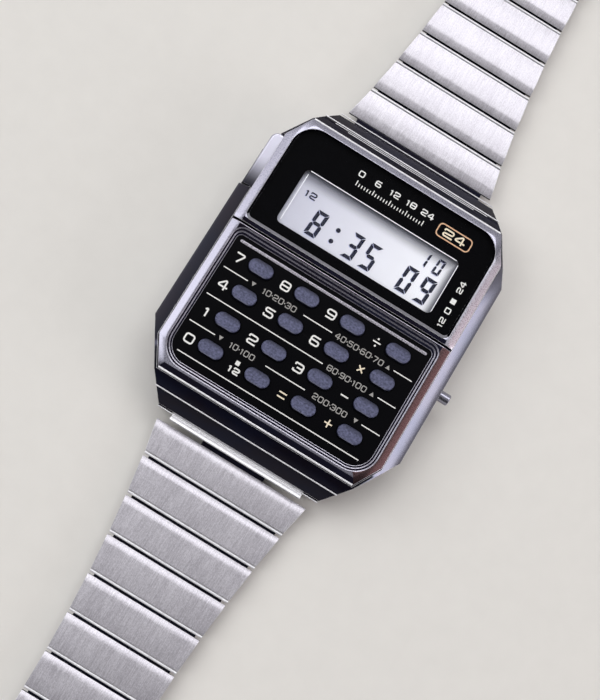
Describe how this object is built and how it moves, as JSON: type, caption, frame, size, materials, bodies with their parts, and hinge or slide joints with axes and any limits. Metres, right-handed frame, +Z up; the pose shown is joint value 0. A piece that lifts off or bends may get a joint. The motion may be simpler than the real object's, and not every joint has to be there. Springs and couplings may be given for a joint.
{
  "type": "calculator watch",
  "caption": "Digital wristwatch with a keypad under its display, in an octagonal steel case on a hinged-link bracelet with a fold-over clasp, lying open and face up.",
  "frame": {"origin": "middle of the case back's outer face, which rests on the table", "axes": "+X towards three o'clock, +Y towards twelve o'clock along the bracelet, +Z up out of the face"},
  "size_m": [0.0375, 0.1877, 0.0082],
  "materials": {
    "polished_steel": "mirror polished",
    "satin_steel": "satin with polished edges",
    "mineral_glass": "clear, polished",
    "mask_print": "black print behind the glass",
    "display_glass": "pale reflective display",
    "contact_elastomer": "matt",
    "frame_resin": "moulded",
    "board_laminate": "solder mask",
    "chip_epoxy": "moulded",
    "crystal_can": "drawn can",
    "cell_can": "drawn can",
    "spring_steel": "ground",
    "buzzer_brass": "stamped",
    "panel_resin": "black, fine satin",
    "mat_silicone": "matt",
    "seal_rubber": "matt",
    "back_steel": "straight brushed",
    "screw_steel": "turned",
    "key_rubber": "matt blue grey",
    "bracelet_steel": "lengthwise brushed",
    "clasp_steel": "stamped and tumbled"
  },
  "bodies": {
    "case": {"case_body": "polished_steel", "display_bezel": "satin_steel", "keypad_bezel": "satin_steel", "window_glass": "mineral_glass", "window_mask": "mask_print", "lcd_cell": "display_glass", "elastomer_strips": "contact_elastomer", "module_frame": "frame_resin", "circuit_board": "board_laminate", "driver_chip": "chip_epoxy", "quartz_crystal": "crystal_can", "coin_cell": "cell_can", "cell_clip": "spring_steel", "piezo_disc": "buzzer_brass", "contact_leaves": "spring_steel", "keypad_plate": "panel_resin", "keypad_trim_bar": "polished_steel", "keypad_mat": "mat_silicone", "case_gasket": "seal_rubber", "case_back": "back_steel", "back_screws": "screw_steel", "spring_bars": "spring_steel", "button_seals": "seal_rubber"},
    "key_0": {"key_0": "key_rubber"},
    "key_1": {"key_1": "key_rubber"},
    "key_2": {"key_2": "key_rubber"},
    "key_3": {"key_3": "key_rubber"},
    "key_4": {"key_4": "key_rubber"},
    "key_5": {"key_5": "key_rubber"},
    "key_6": {"key_6": "key_rubber"},
    "key_7": {"key_7": "key_rubber"},
    "key_8": {"key_8": "key_rubber"},
    "key_9": {"key_9": "key_rubber"},
    "key_point": {"key_point": "key_rubber"},
    "key_equals": {"key_equals": "key_rubber"},
    "key_plus": {"key_plus": "key_rubber"},
    "key_minus": {"key_minus": "key_rubber"},
    "key_times": {"key_times": "key_rubber"},
    "key_divide": {"key_divide": "key_rubber"},
    "mode_button": {"mode_button": "polished_steel"},
    "adjust_button": {"adjust_button": "polished_steel"},
    "upper_link_1": {"upper_link_1": "bracelet_steel"},
    "upper_link_2": {"upper_link_2": "bracelet_steel"},
    "upper_link_3": {"upper_link_3": "bracelet_steel"},
    "upper_link_4": {"upper_link_4": "bracelet_steel"},
    "upper_link_5": {"upper_link_5": "bracelet_steel"},
    "upper_link_6": {"upper_link_6": "bracelet_steel"},
    "upper_link_7": {"upper_link_7": "bracelet_steel"},
    "lower_link_1": {"lower_link_1": "bracelet_steel"},
    "lower_link_2": {"lower_link_2": "bracelet_steel"},
    "lower_link_3": {"lower_link_3": "bracelet_steel"},
    "lower_link_4": {"lower_link_4": "bracelet_steel"},
    "lower_link_5": {"lower_link_5": "bracelet_steel"},
    "lower_link_6": {"lower_link_6": "bracelet_steel"},
    "lower_link_7": {"lower_link_7": "bracelet_steel"},
    "lower_link_8": {"lower_link_8": "bracelet_steel"},
    "ladder_tail": {"ladder_tail": "bracelet_steel"},
    "clasp_cover": {"clasp_cover": "bracelet_steel"},
    "clasp_blade": {"clasp_blade": "clasp_steel"},
    "clasp_lock": {"clasp_lock": "clasp_steel"}
  },
  "joints": [
    {"name": "key_0_press", "type": "slide", "parent": "case", "child": "key_0", "axis": [0, 0, -1], "range_m": [0, 0.0004], "stiffness_N_per_m": 500},
    {"name": "key_1_press", "type": "slide", "parent": "case", "child": "key_1", "axis": [0, 0, -1], "range_m": [0, 0.0004], "stiffness_N_per_m": 500},
    {"name": "key_2_press", "type": "slide", "parent": "case", "child": "key_2", "axis": [0, 0, -1], "range_m": [0, 0.0004], "stiffness_N_per_m": 500},
    {"name": "key_3_press", "type": "slide", "parent": "case", "child": "key_3", "axis": [0, 0, -1], "range_m": [0, 0.0004], "stiffness_N_per_m": 500},
    {"name": "key_4_press", "type": "slide", "parent": "case", "child": "key_4", "axis": [0, 0, -1], "range_m": [0, 0.0004], "stiffness_N_per_m": 500},
    {"name": "key_5_press", "type": "slide", "parent": "case", "child": "key_5", "axis": [0, 0, -1], "range_m": [0, 0.0004], "stiffness_N_per_m": 500},
    {"name": "key_6_press", "type": "slide", "parent": "case", "child": "key_6", "axis": [0, 0, -1], "range_m": [0, 0.0004], "stiffness_N_per_m": 500},
    {"name": "key_7_press", "type": "slide", "parent": "case", "child": "key_7", "axis": [0, 0, -1], "range_m": [0, 0.0004], "stiffness_N_per_m": 500},
    {"name": "key_8_press", "type": "slide", "parent": "case", "child": "key_8", "axis": [0, 0, -1], "range_m": [0, 0.0004], "stiffness_N_per_m": 500},
    {"name": "key_9_press", "type": "slide", "parent": "case", "child": "key_9", "axis": [0, 0, -1], "range_m": [0, 0.0004], "stiffness_N_per_m": 500},
    {"name": "key_point_press", "type": "slide", "parent": "case", "child": "key_point", "axis": [0, 0, -1], "range_m": [0, 0.0004], "stiffness_N_per_m": 500},
    {"name": "key_equals_press", "type": "slide", "parent": "case", "child": "key_equals", "axis": [0, 0, -1], "range_m": [0, 0.0004], "stiffness_N_per_m": 500},
    {"name": "key_plus_press", "type": "slide", "parent": "case", "child": "key_plus", "axis": [0, 0, -1], "range_m": [0, 0.0004], "stiffness_N_per_m": 500},
    {"name": "key_minus_press", "type": "slide", "parent": "case", "child": "key_minus", "axis": [0, 0, -1], "range_m": [0, 0.0004], "stiffness_N_per_m": 500},
    {"name": "key_times_press", "type": "slide", "parent": "case", "child": "key_times", "axis": [0, 0, -1], "range_m": [0, 0.0004], "stiffness_N_per_m": 500},
    {"name": "key_divide_press", "type": "slide", "parent": "case", "child": "key_divide", "axis": [0, 0, -1], "range_m": [0, 0.0004], "stiffness_N_per_m": 500},
    {"name": "mode_press", "type": "slide", "parent": "case", "child": "mode_button", "axis": [1, 0, 0], "range_m": [0, 0.00045], "stiffness_N_per_m": 600},
    {"name": "adjust_press", "type": "slide", "parent": "case", "child": "adjust_button", "axis": [-1, 0, 0], "range_m": [0, 0.0005], "stiffness_N_per_m": 600},
    {"name": "upper_case_hinge", "type": "hinge", "parent": "case", "child": "upper_link_1", "pos_m": [0, 0.0219, 0.00195], "axis": [-1, 0, 0], "range_deg": [-3, 36]},
    {"name": "upper_hinge_1", "type": "hinge", "parent": "upper_link_1", "child": "upper_link_2", "pos_m": [0, 0.02862, 0.00078], "axis": [-1, 0, 0], "range_deg": [-3, 20.57]},
    {"name": "upper_hinge_2", "type": "hinge", "parent": "upper_link_2", "child": "upper_link_3", "pos_m": [0, 0.03388, 0.00078], "axis": [-1, 0, 0], "range_deg": [-3, 20.57]},
    {"name": "upper_hinge_3", "type": "hinge", "parent": "upper_link_3", "child": "upper_link_4", "pos_m": [0, 0.03915, 0.00078], "axis": [-1, 0, 0], "range_deg": [-3, 20.57]},
    {"name": "upper_hinge_4", "type": "hinge", "parent": "upper_link_4", "child": "upper_link_5", "pos_m": [0, 0.04441, 0.00078], "axis": [-1, 0, 0], "range_deg": [-3, 20.57]},
    {"name": "upper_hinge_5", "type": "hinge", "parent": "upper_link_5", "child": "upper_link_6", "pos_m": [0, 0.04968, 0.00078], "axis": [-1, 0, 0], "range_deg": [-3, 20.57]},
    {"name": "upper_hinge_6", "type": "hinge", "parent": "upper_link_6", "child": "upper_link_7", "pos_m": [0, 0.05494, 0.00078], "axis": [-1, 0, 0], "range_deg": [-3, 20.57]},
    {"name": "tail_hinge", "type": "hinge", "parent": "upper_link_7", "child": "ladder_tail", "pos_m": [0, 0.0602, 0.00078], "axis": [-1, 0, 0], "range_deg": [-3, 20.57]},
    {"name": "lower_case_hinge", "type": "hinge", "parent": "case", "child": "lower_link_1", "pos_m": [0, -0.0219, 0.00195], "axis": [1, 0, 0], "range_deg": [-3, 36]},
    {"name": "lower_hinge_1", "type": "hinge", "parent": "lower_link_1", "child": "lower_link_2", "pos_m": [0, -0.02862, 0.00078], "axis": [1, 0, 0], "range_deg": [-3, 18]},
    {"name": "lower_hinge_2", "type": "hinge", "parent": "lower_link_2", "child": "lower_link_3", "pos_m": [0, -0.03388, 0.00078], "axis": [1, 0, 0], "range_deg": [-3, 18]},
    {"name": "lower_hinge_3", "type": "hinge", "parent": "lower_link_3", "child": "lower_link_4", "pos_m": [0, -0.03915, 0.00078], "axis": [1, 0, 0], "range_deg": [-3, 18]},
    {"name": "lower_hinge_4", "type": "hinge", "parent": "lower_link_4", "child": "lower_link_5", "pos_m": [0, -0.04441, 0.00078], "axis": [1, 0, 0], "range_deg": [-3, 18]},
    {"name": "lower_hinge_5", "type": "hinge", "parent": "lower_link_5", "child": "lower_link_6", "pos_m": [0, -0.04968, 0.00078], "axis": [1, 0, 0], "range_deg": [-3, 18]},
    {"name": "lower_hinge_6", "type": "hinge", "parent": "lower_link_6", "child": "lower_link_7", "pos_m": [0, -0.05494, 0.00078], "axis": [1, 0, 0], "range_deg": [-3, 18]},
    {"name": "lower_hinge_7", "type": "hinge", "parent": "lower_link_7", "child": "lower_link_8", "pos_m": [0, -0.0602, 0.00078], "axis": [1, 0, 0], "range_deg": [-3, 18]},
    {"name": "cover_hinge", "type": "hinge", "parent": "lower_link_8", "child": "clasp_cover", "pos_m": [0, -0.06547, 0.00078], "axis": [1, 0, 0], "range_deg": [-3, 18]},
    {"name": "blade_hinge", "type": "hinge", "parent": "clasp_cover", "child": "clasp_blade", "pos_m": [0, -0.09197, 0.00078], "axis": [1, 0, 0], "range_deg": [-150, 0]},
    {"name": "lock_hinge", "type": "hinge", "parent": "clasp_blade", "child": "clasp_lock", "pos_m": [0, -0.07117, 0.0004], "axis": [-1, 0, 0], "range_deg": [-60, 0]}
  ]
}
